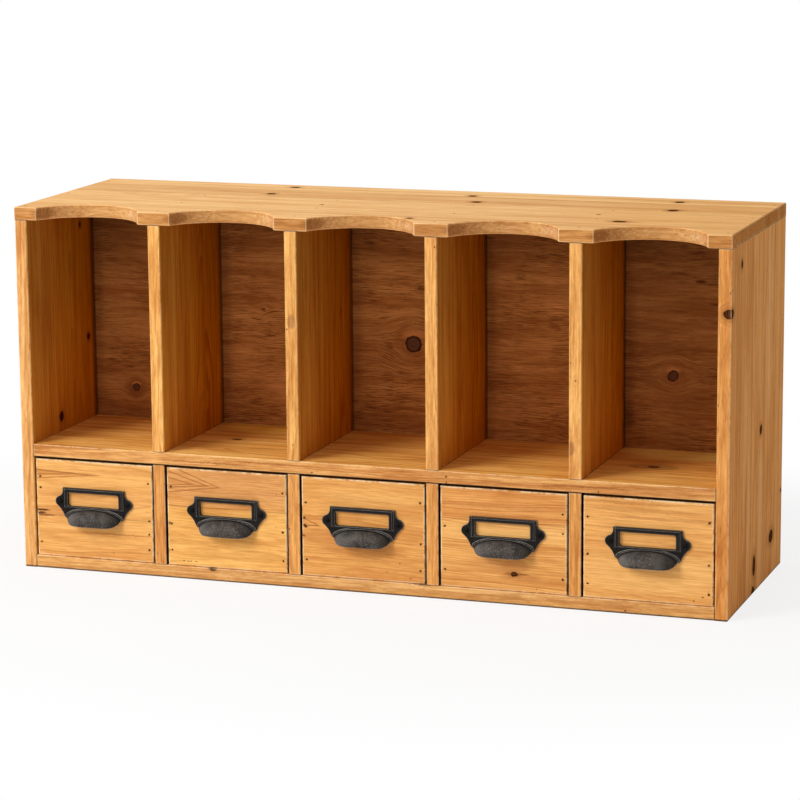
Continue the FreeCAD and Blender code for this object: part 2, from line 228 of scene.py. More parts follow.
def edge_group():
    """Distance in mm from a point on a board to the nearest of the board's edges."""
    graph, given, result = new_group(
        "board_edge", {"Place": "Vector", "Low": "Vector", "High": "Vector"},
        {"Distance": "Float"})
    inward = graph.vector("MINIMUM", graph.vector("SUBTRACT", given["Place"], given["Low"]),
                          graph.vector("SUBTRACT", given["High"], given["Place"]))
    x, y, z = graph.split(inward)
    least = graph.least(graph.least(x, y), z)
    most = graph.most(graph.most(x, y), z)
    total = graph.plus(graph.plus(x, y), z)
    graph.feed(result["Distance"], graph.minus(graph.minus(total, least), most))
    return graph.tree


GRAIN = grain_group()
SPOT = spot_group()
EDGE = edge_group()


# ---- wood ----
AXES = {"x": Vector((1, 0, 0)), "y": Vector((0, 1, 0)), "z": Vector((0, 0, 1))}
EARLY = (0.86, 0.445, 0.14)         # spring wood
LATE = (0.46, 0.165, 0.036)         # the dark line that ends a year
RED = (0.6, 0.23, 0.058)            # resin-rich streaks
PALE = (0.93, 0.56, 0.215)          # wood with little resin
ARRIS_WEAR_AND_HIGHLIGHT = (0.99, 0.74, 0.44)           # wood rubbed bare on an arris, and a painted highlight on arrises and corners
DARK_GRAIN = (0.4, 0.15, 0.045)
GLUE_LINE = (0.24, 0.085, 0.025)
KNOT = (0.17, 0.055, 0.015)
KNOT_CHAR = (0.034, 0.01, 0.004)
KNOT_BARK = (0.024, 0.008, 0.003)
KNOT_HALO = (0.36, 0.135, 0.038)
MARK = (0.075, 0.021, 0.007)        # dirt in a hole or a nick
# painted shade along the foot of a board, where it stands on the floor
FLOOR_CONTACT_SHADE = (0.07, 0.042, 0.03)
GAP_SHADE = (0.018, 0.006, 0.002)        # painted shade in the gap round a drawer and in the back panel's corners
INNER_SHADE = (0.66, 0.49, 0.035)   # painted shade on the walls in a pigeonhole
CREASE_SHADE = (0.2, 0.12, 0.02)    # deeper painted shade beside the back panel
STREAK_DARK = (0.56, 0.245, 0.075)
STREAK_PALE = (0.97, 0.6, 0.25)
VENEER = (0.36, 0.122, 0.028)
VENEER_PALE = (0.71, 0.315, 0.092)
VENEER_BAND = (0.2, 0.062, 0.016)
VENEER_PORE = (0.1, 0.03, 0.008)
VENEER_DARK = (0.1, 0.032, 0.009)   # dark marks, and painted shade in the panel's corners
WHITE = (1, 1, 1)                   # as a tint: no change
WOOD_GLOSS = 0.0                    # oiled, not varnished: any gloss greys it at a low angle
STAVE_JUMP = (170.0, 6.0, 3.0)      # from one stave's place in its tree to the next's
THROUGH = 1e5                       # size of a spot that runs right through its board
FAR = 99.0                          # distance where there is no spot at all


def surface(name):
    """New material with a Principled shader; returns the material, its graph and shader."""
    material = bpy.data.materials.new(name)
    material.use_nodes = True
    graph = Graph(material.node_tree)
    shader = material.node_tree.nodes["Principled BSDF"]
    return material, graph, shader


def dress(node, material):
    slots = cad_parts[node].data.materials
    slots.clear()
    slots.append(material)


def coat(graph, shader, colour, roughness, gloss, relief):
    """Give a shader its colour, roughness, gloss and relief: the inputs of a Bump node."""
    graph.feed(shader.inputs["Base Color"], colour)
    graph.feed(shader.inputs["Roughness"], roughness)
    shader.inputs["Specular IOR Level"].default_value = gloss
    graph.feed(shader.inputs["Normal"], graph.node("Bump", relief).outputs[0])


def millimetres(graph):
    place = graph.node("TexCoord", {}).outputs["Object"]
    return graph.scaled(place, 1 / MM)


def shake(graph, place, scale, detail, reach):
    """The place, moved about by noise, so that what is drawn there has an uneven outline."""
    noise = graph.node("TexNoise", {"Vector": place, "Scale": scale, "Detail": detail})
    offset = graph.vector("SUBTRACT", noise.outputs["Color"], (0.5, 0.5, 0.5))
    return graph.vector("ADD", place, graph.scaled(offset, reach))


def distance_to(graph, place, centre, size):
    return graph.call(SPOT, {"Place": place, "Centre": centre, "Size": size})[0]


def nearest(graph, place, spots):
    """Least distance to any of the spots, each a centre and a size."""
    least = FAR
    for centre, size in spots:
        least = graph.least(least, distance_to(graph, place, centre, size))
    return least


def grain_turn(along, deep, tilt):
    """Rotation that takes the row's axes to the grain's: along it, across it, and deep."""
    first, third = AXES[along], AXES[deep]
    second = third.cross(first)
    turn = Matrix((first, second, third))
    return Matrix.Rotation(math.radians(tilt), 3, "Y") @ turn


class Board:
    """One pine board: sockets that say where a point of it lies and how its face is turned.

    along and deep name the axes along the grain and through the board's thickness.
    colour is what has been painted on it so far.
    """

    def __init__(self, graph, node, along, deep):
        self.graph = graph
        self.along = along
        self.deep = deep
        self.low, self.high = (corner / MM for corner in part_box(node))
        self.place = millimetres(graph)
        self.axes = graph.split(self.place)
        self.across = self.axes["xyz".index(({"x", "y", "z"} - {along, deep}).pop())]
        self.shaken = shake(graph, self.place, 0.3, 2.0, 2.6)
        self.normal = graph.node("TexCoord", {}).outputs["Normal"]
        self.end_grain = self.facing(along, 0.35, 0.95)
        self.flat = self.facing(deep, 0.5, 0.8)
        self.not_flat = graph.minus(1.0, self.flat)
        self.rim = graph.minus(self.not_flat, self.end_grain, clamp=True)
        self.edge = graph.call(EDGE, {"Place": self.place, "Low": self.low,
                                      "High": self.high})[0]
        self.colour = WHITE

    def paint(self, share, colour, blend="MIX"):
        self.colour = self.graph.mix(share, self.colour, colour, blend)

    def facing(self, axis, low_share, high_share):
        """1 on faces square to the axis, 0 on the others."""
        graph = self.graph
        toward = graph.math("ABSOLUTE", graph.dot(self.normal, AXES[axis]))
        return graph.ramp(toward, low_share, high_share)

    def staves(self, seams):
        """The number of the stave that a point is in, and the dark of the glue lines."""
        graph = self.graph
        stave = glue = 0.0
        for position in seams:
            stave = graph.plus(stave, graph.math("GREATER_THAN", self.across, position))
            gap = graph.math("ABSOLUTE", graph.minus(self.across, position))
            glue = graph.most(glue, graph.ramp(gap, 0.1, 0.6, 0.5, 0.0))
        return stave, glue

    def in_tree(self, pith, tilt, stave):
        """Where a point was in the tree: along the pith, and the two ways out from it."""
        graph = self.graph
        middle = (self.low + self.high) / 2
        turn = grain_turn(self.along, self.deep, tilt)
        shift = -(turn @ middle) - Vector((0, pith[0], pith[1]))
        place = graph.node("Mapping", {"Vector": self.place, "Location": shift,
                                       "Rotation": turn.to_euler()}).outputs[0]
        return graph.vector("ADD", place, graph.scaled(STAVE_JUMP, stave))

    def knots(self, knots, ring):
        """How far knots push the rings aside, their core and halo, and the nearest one."""
        graph = self.graph
        push = core = halo = 0.0
        eye = FAR
        for centre, size, darkness in knots:
            distance = distance_to(graph, self.shaken, centre, size)
            push = graph.plus(push, graph.ramp(distance, 0.7, 3.2, 2.2 * ring, 0.0))
            core = graph.most(core, graph.ramp(distance, 0.86, 1.1, darkness, 0.0))
            halo = graph.most(halo, graph.ramp(distance, 0.9, 2.6, darkness, 0.0))
            eye = graph.least(eye, distance)
        return push, core, halo, eye


def paint_grain(board, grain, figure, early, late):
    """Year rings, with redder and paler streaks; figure says how strong they are."""
    graph = board.graph
    on_rim = 0.48 * figure
    lines = graph.times(grain["Late"],
                        graph.math("MULTIPLY_ADD", board.flat, 0.04 * figure, third=on_rim))
    board.colour = graph.mix(lines, early, late)
    for noise, low, high, share, patch in (("Streak", 0.56, 0.3, 0.55, RED),
                                           ("Streak", 0.55, 0.8, 0.35, PALE),
                                           ("Cloud", 0.48, 0.72, 0.55, RED)):
        board.paint(graph.ramp(grain[noise], low, high, 0.0, share * figure), patch)


def paint_patches(board, patches):
    for centre, size, colour, share in patches:
        distance = distance_to(board.graph, board.shaken, centre, size)
        board.paint(board.graph.ramp(distance, 0.55, 1.05, share, 0.0), colour)


def spike_depth(graph, place, tip, above, below):
    """How deep a point is inside a flame of grain on a drawer front, in mm.

    The flame opens to the left from its tip; above and below are its two slopes.
    """
    x, _, z = graph.split(place)
    run = graph.minus(tip[0], x)
    rise = graph.minus(z, tip[1])
    upper = graph.minus(graph.times(run, above), rise)
    lower = graph.plus(graph.times(run, below), rise)
    return graph.least(upper, lower)


def paint_spikes(board, spikes):
    graph = board.graph
    steady = graph.vector("ADD", graph.scaled(board.place, 0.75),
                          graph.scaled(board.shaken, 0.25))
    for tip, above, below, share in spikes:
        inside = spike_depth(graph, steady, tip, above, below)
        board.paint(graph.ramp(inside, 0.0, 2.5, 0.0, share), RED)
        outline = graph.ramp(graph.math("ABSOLUTE", inside), 0.25, 0.9, 0.75, 0.0)
        board.paint(outline, DARK_GRAIN)


def paint_tone(board, grain, own):
    """Light and dark of the fibres, of the stave (own) and of the rough rim.

    Green and blue fall faster than red, so that darker wood is also warmer.
    """
    graph = board.graph
    tone = graph.ramp(own, 0.0, 1.0, 0.93, 1.05)
    tone = graph.times(tone, graph.ramp(grain["Fibre"], 0.3, 0.7, 0.93, 1.05))
    tone = graph.times(tone, graph.ramp(grain["Hair"], 0.3, 0.7, 0.91, 1.07))
    stretch = AXES[board.along] * 0.05 + (Vector((1, 1, 1)) - AXES[board.along]) * 0.45
    mottle = graph.noise(graph.vector("MULTIPLY", board.place, stretch), 4, 0.7)
    blotch = graph.math("MULTIPLY_ADD", graph.ramp(mottle, 0.34, 0.66, -0.16, 0.11),
                        board.not_flat, third=1.0)
    tone = graph.times(tone, blotch)
    warm = graph.join(tone, graph.math("POWER", tone, 1.5), graph.math("POWER", tone, 2.0))
    board.paint(1.0, warm, "MULTIPLY")


def paint_knots(board, grain, core, halo, eye):
    graph = board.graph
    char = graph.ramp(graph.times(grain["Hair"], grain["Fibre"]), 0.15, 0.4)
    heart = graph.mix(char, KNOT_CHAR, KNOT)
    bark = graph.times(graph.ramp(eye, 0.7, 0.92), graph.ramp(eye, 1.28, 1.02))
    board.paint(graph.times(halo, 0.42), KNOT_HALO)
    board.paint(core, graph.mix(graph.times(bark, 0.8), heart, KNOT_BARK))


def paint_flecks(board, grain, glue, figure):
    """Glue lines, and small dark flecks, which are stronger on the rim."""
    graph = board.graph
    on_flat, on_rim = 0.3 * figure, 0.55
    strength = graph.math("MULTIPLY_ADD", board.flat, on_flat - on_rim, third=on_rim)
    fleck = graph.times(grain["Fleck"], strength)
    board.paint(graph.most(glue, fleck), GLUE_LINE)


def dents(board):
    """Small nicks scattered over a board, more of them near its edges."""
    graph = board.graph
    nick = graph.node("TexVoronoi", {"Vector": graph.scaled(board.shaken, 0.085),
                                     "Scale": 1.0})
    chosen = graph.split(nick.outputs["Color"])[0]
    limit = graph.plus(graph.ramp(board.edge, 0.5, 6.0, 0.05, 0.0),
                       graph.math("MULTIPLY_ADD", chosen, 0.13, third=-0.078))
    return graph.ramp(graph.minus(nick.outputs["Distance"], limit), -0.012, 0.02, 1.0, 0.0)


def paint_wear_and_highlight(board, wear, corners):
    """Arrises rubbed bare with a painted highlight, and a painted highlight up chosen upright
    corners.
    """
    graph = board.graph
    rub = graph.noise(graph.scaled(board.place, 0.11), 3, 0.65)
    # Rubbed arrises, which are also a painted highlight on them.
    worn = graph.times(graph.ramp(board.edge, 0.3, 0.8 + 1.1 * wear, 1.0, 0.0),
                       graph.ramp(rub, 0.36, 0.58, 0.1, 1.0))
    board.paint(graph.times(worn, wear), ARRIS_WEAR_AND_HIGHLIGHT)
    # A painted highlight up each chosen upright corner.
    for x, y, share in corners:
        distance = distance_to(graph, board.place, (x, y, 0), (1.3, 1.3, THROUGH))
        board.paint(graph.ramp(distance, 0.4, 1.0, share, 0.0), ARRIS_WEAR_AND_HIGHLIGHT)


def paint_floor_shade_and_joint_dirt(board, joined):
    """Painted shade along the floor and, where the ends of the board meet others, dirt in the
    joints.
    """
    graph = board.graph
    # Painted shade along the foot of the board, on the floor.
    if board.low.z < 1:
        board.paint(graph.ramp(board.axes[2], 0.8, 2.2, 0.9, 0.0), FLOOR_CONTACT_SHADE)
    if joined:
        axis = "xyz".index(board.along)
        to_end = graph.least(graph.minus(board.axes[axis], board.low[axis]),
                             graph.minus(board.high[axis], board.axes[axis]))
        board.paint(graph.ramp(to_end, 0.2, 1.0, 0.7, 0.0), MARK)


def paint_inside_shade(board, inner):
    """Painted shade on the walls in the pigeonholes, deeper towards the panel and the top
    board.
    """
    graph = board.graph
    _, y, z = board.axes
    sideways = graph.split(board.normal)[0]
    looks_in = (graph.math("ABSOLUTE", sideways) if inner == 0
                else graph.times(sideways, inner))
    facing_in = graph.ramp(looks_in, 0.5, 0.8)
    deep_in = graph.ramp(y, FRONT, PANEL_FACE, 0.72, 1.0)
    # Painted shade, darker under the top board.
    shade_under_top = graph.ramp(z, 0.4 * TOP, TOP, 1.06, 0.76)
    # Painted shade in the crease beside the back panel.
    crease = graph.ramp(y, PANEL_FACE - 9, PANEL_FACE, 0.0, 0.75)
    brown = graph.mix(crease, INNER_SHADE, CREASE_SHADE)
    board.paint(graph.times(facing_in, deep_in), brown, "MULTIPLY")
    board.paint(facing_in, graph.join(shade_under_top, shade_under_top, shade_under_top), "MULTIPLY")


def pine(name, node, along, deep, pith, seed, ring=2.3, tilt=1.2, knots=(), seams=(),
         patches=(), spikes=(), gaps=(), holes=(), early=EARLY, late=LATE, tint=WHITE,
         beyond=WHITE, rim_tint=WHITE, end_tint=(0.7, 0.7, 0.7), figure=1.0, wear=0.55,
         inner=None, joined=True, corners=()):
    """Dress one board in pine of its own.

    along, deep: see Board.  pith: where the heart of the tree lay, across and deep from the
    board's middle.  ring: width of a year.  tilt: of the grain, in degrees.  seed, figure:
    which grain it is, and how strong.  early, late: colours of a year's first and last wood.
    seams: where glued staves meet, on the axis across.
    tint: of the whole board; beyond: of the wood past the last seam; rim_tint, end_tint: of
    the faces through the thickness, along the grain and across it.
    knots: (centre, size, darkness).  patches: (centre, size, colour, share).
    spikes: (tip, slope above, slope below, share).  corners: upright ones lit by a painted
    highlight, (x, y, share).  gaps, holes: painted shade beside the board, and nail holes,
    (centre, size).  wear: how wide and pale the arrises are rubbed, also a painted highlight.
    joined: its ends meet other boards.  inner: which faces look into a pigeonhole and get
    painted shade, 1 for +X, -1 for -X and 0 for both.
    """
    material, graph, shader = surface(name)
    board = Board(graph, node, along, deep)
    stave, glue = board.staves(seams)
    push, core, halo, eye = board.knots(knots, ring)
    stave_seed = graph.math("MULTIPLY_ADD", stave, 3.7, third=seed)
    grain = graph.call(GRAIN, {"Place": board.in_tree(pith, tilt, stave), "Push": push,
                               "Ring": ring, "Seed": stave_seed})
    own = graph.node("TexWhiteNoise", {"W": graph.plus(stave, seed)},
                     noise_dimensions="1D").outputs["Value"]

    paint_grain(board, grain, figure, early, late)
    paint_patches(board, patches)
    paint_spikes(board, spikes)
    paint_tone(board, grain, own)
    board.paint(board.end_grain, end_tint, "MULTIPLY")
    board.paint(1.0, tint, "MULTIPLY")
    if beyond != WHITE:
        past = graph.math("GREATER_THAN", board.across, seams[-1])
        board.paint(past, beyond, "MULTIPLY")
    if rim_tint != WHITE:
        board.paint(board.rim, rim_tint, "MULTIPLY")

    paint_knots(board, grain, core, halo, eye)
    paint_flecks(board, grain, glue, figure)
    dent = dents(board)
    board.paint(graph.times(dent, 0.8), MARK)
    paint_wear_and_highlight(board, wear, corners)
    paint_floor_shade_and_joint_dirt(board, joined)
    # Painted shade on the faces that look into a pigeonhole.
    if inner is not None:
        paint_inside_shade(board, inner)
    # Painted shade in the gaps beside the board.
    if gaps:
        gap = nearest(graph, board.place, gaps)
        board.paint(graph.ramp(gap, 0.7, 1.1, 0.95, 0.0), GAP_SHADE)
    if holes:
        hole = nearest(graph, board.shaken, holes)
        board.paint(graph.ramp(hole, 0.55, 1.25, 0.85, 0.0), MARK)

    roughness = graph.math("MULTIPLY_ADD", grain["Fibre"], 0.18, third=0.5)
    height = graph.math("MULTIPLY_ADD", grain["Late"], 0.5, third=grain["Fibre"])
    height = graph.minus(height, graph.times(dent, 1.5))
    coat(graph, shader, board.colour, roughness, WOOD_GLOSS,
         {"Height": height, "Strength": 0.3, "Distance": 0.12 * MM})
    dress(node, material)


def plywood(name, node, knots=(), patches=(), shade_under_top=0.0, pitted=0.55):
    """Dress one sheet in red-brown stained plywood, its veneer laid along X.

    knots: (centre, radius, darkness) and patches: (centre, size, colour, share), with x and
    z on the face.  shade_under_top: how much painted shade darkens the veneer just under the
    top board.
    pitted: how dark the open pores are, on the front of the panel.
    """
    material, graph, shader = surface(name)
    place = millimetres(graph)
    x, y, z = graph.split(place)
    rough = shake(graph, place, 0.25, 3.0, 3.5)

    # Knots bend the grain round them.
    wave = graph.noise(graph.vector("MULTIPLY", place, (0.012, 0.02, 0.03)), 3)
    bend = graph.times(graph.minus(wave, 0.5), 9)
    core = halo = glow = 0.0
    eye = FAR
    for (knot_x, knot_z), radius, darkness in knots:
        distance = distance_to(graph, rough, (knot_x, 0, knot_z), (radius, THROUGH, radius))
        rise = graph.minus(z, knot_z)
        swirl = graph.ramp(distance, 0.8, 5.0, -0.8, 0.0)
        bend = graph.plus(bend, graph.times(swirl, rise))
        core = graph.most(core, graph.ramp(distance, 0.9, 1.08, darkness, 0.0))
        halo = graph.most(halo, graph.ramp(distance, 1.0, 3.0, darkness, 0.0))
        above = graph.ramp(rise, 0.4 * radius, radius)
        crown = graph.times(above, graph.ramp(distance, 1.2, 2.0, darkness, 0.0))
        glow = graph.most(glow, crown)
        eye = graph.least(eye, distance)
    bent = graph.join(x, y, graph.plus(z, bend))

    # Veneer: broad figure, thin dark bands, and pores that are denser low down.
    figure = graph.noise(graph.vector("MULTIPLY", bent, (0.01, 0.1, 0.12)), 6, 0.78)
    band = graph.noise(graph.vector("MULTIPLY", bent, (0.03, 0.2, 0.75)), 3, 0.65)
    crowd = graph.ramp(graph.noise(graph.scaled(bent, 0.022), 2), 0.35, 0.65, 0.25, 1.0)
    pores = graph.noise(graph.vector("MULTIPLY", bent, (0.06, 1.0, 1.35)), 3, 0.65)
    low_down = graph.ramp(z, SHELF_TOP + 4, SHELF_TOP + 42, 0.025, 0.0)
    on_face = graph.ramp(y, PANEL_FACE + 1, PANEL_FACE + PANEL_DEEP, pitted, 0.4)
    dashes = graph.ramp(graph.plus(pores, low_down), 0.49, 0.6)
    dashes = graph.times(graph.times(dashes, crowd), on_face)
    colour = graph.mix(graph.ramp(figure, 0.3, 0.72), VENEER, VENEER_PALE)
    colour = graph.mix(graph.ramp(band, 0.5, 0.36, 0.0, 0.42), colour, VENEER_BAND)
    colour = graph.mix(dashes, colour, VENEER_PORE)
    for (patch_x, patch_z), (wide, tall), patch, share in patches:
        distance = distance_to(graph, bent, (patch_x, PANEL_FACE, patch_z),
                               (wide, PANEL_DEEP, tall))
        colour = graph.mix(graph.ramp(distance, 0.3, 1.0, share, 0.0), colour, patch)

    # Knots: a reddish halo, a lighter crown above, and a dark ringed heart.
    colour = graph.mix(graph.times(halo, 0.45), colour, (0.3, 0.1, 0.026))
    colour = graph.mix(graph.times(glow, 0.5), colour, (0.8, 0.32, 0.095))
    rings = graph.ramp(graph.math("SINE", graph.times(eye, 15.0)), -1.0, 1.0)
    heart = graph.mix(rings, (0.115, 0.046, 0.023), (0.145, 0.06, 0.03))
    heart = graph.mix(graph.ramp(eye, 0.74, 0.9), heart, (0.022, 0.009, 0.005))
    colour = graph.mix(core, colour, heart)
    # Painted shade just under the top board.
    if shade_under_top:
        dim = graph.ramp(z, TOP - 95, TOP - BOARD, 1.0, 1.0 - shade_under_top)
        colour = graph.mix(1.0, colour, graph.join(dim, dim, dim), "MULTIPLY")

    coat(graph, shader, colour, graph.ramp(pores, 0.2, 0.8, 0.5, 0.68), WOOD_GLOSS,
         {"Height": pores, "Strength": 0.4, "Distance": 0.15 * MM})
    dress(node, material)


# ---- metal ----
IRON_DARK = (0.006, 0.005, 0.004)
IRON = (0.013, 0.01, 0.009)
RUBBED_DARK = (0.028, 0.024, 0.021)
RUBBED = (0.066, 0.055, 0.046)
PEBBLE_TOP = (0.2, 0.17, 0.145)     # high spots of the rubbed iron
HOOD_LEFT_HIGHLIGHT = (0.19, 0.18, 0.17)        # painted highlight at the left end of a finger hood
HOOD_RIGHT_SHADE = (0.02, 0.016, 0.013)    # painted shade at the right end of a finger hood
# rubbed iron on the arrises, and a painted highlight there
IRON_ARRIS = (0.42, 0.38, 0.33)
IRON_GLOSS = 0.13


def cast_iron(name):
    """Black-brown cast iron, rubbed grey over the finger hood, and rubbed grey with a painted
    highlight on its raised edges.

    The hood has a painted highlight at its left end and painted shade at its right one.
    """
    material, graph, shader = surface(name)
    place = millimetres(graph)
    x, y, z = graph.split(place)
    from_wall = graph.math("MODULO", graph.plus(x, (WIDTH - BOARD) / 2), BAY_PITCH)
    aside = graph.minus(from_wall, BAY_PITCH / 2)
    pebble = graph.noise(graph.scaled(place, 0.9), 4, 0.65)
    patch = graph.noise(graph.scaled(place, 0.12), 3, 0.6)
    bevel = graph.node("Bevel", {"Radius": 0.7 * MM}, samples=6).outputs[0]
    true_normal = graph.node("NewGeometry", {}).outputs["Normal"]
    arris = graph.ramp(graph.dot(bevel, true_normal), 0.88, 0.995, 1.0, 0.0)
    hood = graph.times(graph.ramp(y, PULL_FACE - 1.5, PULL_FACE - 4.5),
                       graph.ramp(z, HOOD_CROWN + 1.0, HOOD_CROWN - 2.0))

    colour = graph.mix(graph.ramp(patch, 0.3, 0.7), IRON_DARK, IRON)
    rubbed = graph.mix(graph.ramp(patch, 0.35, 0.65), RUBBED_DARK, RUBBED)
    rubbed = graph.mix(graph.ramp(pebble, 0.52, 0.66, 0.0, 0.7), rubbed, PEBBLE_TOP)
    # Painted highlight at the hood's left end, painted shade at its right one.
    rubbed = graph.mix(graph.ramp(aside, -HOOD_HALF, 4 - HOOD_HALF / 2, 0.55, 0.0), rubbed,
                       HOOD_LEFT_HIGHLIGHT)
    rubbed = graph.mix(graph.ramp(aside, HOOD_HALF / 3, HOOD_HALF, 0.0, 0.75), rubbed,
                       HOOD_RIGHT_SHADE)
    colour = graph.mix(hood, colour, rubbed)
    # Arrises rubbed grey, which is also a painted highlight on them.
    worn = graph.times(arris, graph.ramp(pebble, 0.3, 0.55, 0.3, 0.95))
    colour = graph.mix(worn, colour, IRON_ARRIS)

    shader.inputs["Metallic"].default_value = 0.2
    coat(graph, shader, colour, graph.ramp(pebble, 0.3, 0.7, 0.38, 0.62), IRON_GLOSS,
         {"Height": pebble, "Strength": 0.7, "Distance": 0.3 * MM, "Normal": bevel})
    return material


def steel(name, dark, light, roughness, bare=0.7):
    """Dulled steel of nails and screws, with uneven tarnish; bare: how much metal shows."""
    material, graph, shader = surface(name)
    tarnish = graph.noise(graph.scaled(millimetres(graph), 1.6), 3, 0.6)
    graph.feed(shader.inputs["Base Color"],
               graph.mix(graph.ramp(tarnish, 0.35, 0.7), dark, light))
    shader.inputs["Metallic"].default_value = bare
    shader.inputs["Specular IOR Level"].default_value = 0.5 * bare
    graph.feed(shader.inputs["Roughness"],
               graph.ramp(tarnish, 0.3, 0.7, roughness - 0.08, roughness + 0.08))
    return material


# ---- marks at chosen places ----
# Knots right through a board, from rows of two places, two half sizes and darkness.
def knots_xy(*rows):
    return [((x, y, 0), (rx, ry, THROUGH), darkness) for x, y, rx, ry, darkness in rows]


def knots_yz(*rows):
    return [((0, y, z), (THROUGH, ry, rz), darkness) for y, z, ry, rz, darkness in rows]


def knots_xz(*rows):
    return [((x, 0, z), (rx, THROUGH, rz), darkness) for x, z, rx, rz, darkness in rows]


def on_front(*rows):
    """Patches on a drawer front, from rows of x, z, the half sizes, colour and share."""
    return [((x, DRAWER_FACE, z), (rx, MARK_DEEP, rz), colour, share)
            for x, z, rx, rz, colour, share in rows]


def dark_marks_and_shade(*rows):
    """Dark marks, and painted shade, on the back panel, from rows of x, z, the half sizes and
    share.
    """
    return [((x, z), (rx, rz), VENEER_DARK, share) for x, z, rx, rz, share in rows]


def streaks(seed, count, along, low, high, width):
    """Long soft streaks between two corners of a board, pale and dark by turns."""
    pick = random.Random(seed)
    run = "xyz".index(along)
    thin = min(range(3), key=lambda axis: high[axis] - low[axis])
    patches = []
    for number in range(count):
        centre = [pick.uniform(low[axis], high[axis]) for axis in range(3)]
        size = [pick.uniform(*width) for axis in range(3)]
        size[run] = pick.uniform(0.25, 0.6) * (high[run] - low[run])
        size[thin] = THROUGH
        colour = STREAK_DARK if number % 2 else STREAK_PALE
        patches.append((tuple(centre), tuple(size), colour, pick.uniform(0.18, 0.42)))
    return patches


def wall_streaks(seed, left, right):
    """Streaks on an upright board, where it stands beside a pigeonhole."""
    return streaks(seed, 10, "z", (left, FRONT + 10, SHELF_TOP + 1),
                   (right, PANEL_FACE, TOP - BOARD - 1), (3.0, 9.0))


def heads(node, axis, level, size):
    """Nail heads of a node that lie at one level along an axis, as holes of the given size."""
    middles = []
    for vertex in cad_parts[node].data.vertices:
        corner = vertex.co / MM
        if abs(corner[axis] - level) > ON_LEVEL:
            continue
        for middle in middles:
            if (middle[0] - corner).length < HEAD_APART:
                middle.append(corner)
                break
        else:
            middles.append([corner])
    return [(sum(corners, Vector()) / len(corners), (size, size, size))
            for corners in middles]


# ---- materials on the carcass ----
def dress_top_board():
    rim = TOP - BOARD / 2
    patches = [((255, 30, TOP), (14, 9, 60), (0.42, 0.19, 0.075), 0.45),
               ((230, -54, TOP), (20, 8, 60), (0.5, 0.23, 0.085), 0.45),
               ((350, 30, TOP), (220, 300, 60), (0.72, 0.33, 0.09), 0.45)]
    patches += streaks(5, 14, "x", (10 - WIDTH / 2, FRONT + 10, TOP - BOARD),
                       (WIDTH / 2 - 10, BACK - 5, TOP), (3.5, 9.0))
    lit_scallop_corners = []
    for bay in BAY_MIDDLES:
        left, right = bay - SCALLOP_HALF_CHORD, bay + SCALLOP_HALF_CHORD
        # Painted highlights up the land corners at both ends of the scallop.
        lit_scallop_corners += [(left, FRONT, 0.2), (right, FRONT, 0.5)]
        # The scallop is pale, with painted shade at its left end and a painted highlight at
        # its right one.
        patches += [((bay + 8, FRONT + 26, rim), (46, 26, 6), (0.97, 0.64, 0.3), 0.45),
                    ((left + 4, FRONT + 8, rim), (16, 14, 6), (0.4, 0.16, 0.045), 0.6),
                    ((bay + 36, FRONT + 12, rim), (20, 14, 6), (0.98, 0.69, 0.37), 0.35)]
    for number, middle in enumerate(UPRIGHTS):
        dark = 0.14 * (number % 4)
        patches.append(((middle, FRONT, rim), (20, 3, 8), (0.56, 0.24, 0.08), dark))
    pine(
        "pine_top", "top_board", "x", "z", (34, -46), 3.1, ring=2.2, tilt=0.8, figure=0.62,
        seams=(-58, 22, 71), holes=heads("top_nails", 2, TOP, HEAD_SPOT),
        early=(0.88, 0.48, 0.18), tint=(1.1, 1.2, 1.4), rim_tint=(0.63, 0.5, 0.36),
        end_tint=(0.69, 0.53, 0.39), joined=False, wear=0.3, patches=patches,
        corners=lit_scallop_corners,
        knots=knots_xy(
            (-138, 93, 5, 4, 1.0), (-143, 42, 4.5, 4, 1.0), (47, 77, 4.5, 4, 1.0),
            (63, 37, 5, 4.5, 1.0), (38, -83, 3.5, 3, 1.0), (225, -54, 6.5, 4.5, 1.0),
            (245, 86, 4.5, 5, 1.0), (253, 29, 5, 5.5, 1.0), (-70, -17, 1.4, 1.6, 1.0),
            (195, -15, 1.6, 1.6, 1.0)))


def dress_sides():
    right, left = WIDTH / 2, -WIDTH / 2
    on_front_arris = ((right - 1, FRONT + 1, 274), (6.5, 8, 4.4), 1.0)
    pine(
        "pine_right", "right_side", "z", "x", (-75, -38), 7.7, ring=2.4, figure=0.85,
        inner=-1, seams=(-72, -24, 26, 66), tint=(1.07, 0.97, 1.0),
        rim_tint=(0.91, 0.89, 0.78),
        knots=knots_yz((-71, 312, 3.5, 4, 1.0), (15, 148, 4.5, 4.5, 1.0),
                       (64, 37, 8.5, 6, 1.0), (-7, 26, 5.5, 10, 1.0), (-10, 2, 6, 5, 1.0),
                       (106, 72, 3, 2, 0.9)) + [on_front_arris],
        patches=streaks(8, 18, "z", (right - BOARD, FRONT + 4, 10),
                        (right, BACK - 4, TOP - BOARD - 1), (5.0, 12.0)))
    pine(
        "pine_left", "left_side", "z", "x", (20, 42), 12.4, ring=2.3, inner=1,
        seams=(-64, -12, 30, 74), rim_tint=(1.03, 1.08, 1.25),
        knots=knots_yz((7, 311, 2.6, 3.4, 0.9), (20, 200, 3.4, 3.4, 1.0),
                       (-46, 133, 4.6, 5.0, 1.0)),
        patches=wall_streaks(55, left, left + BOARD))


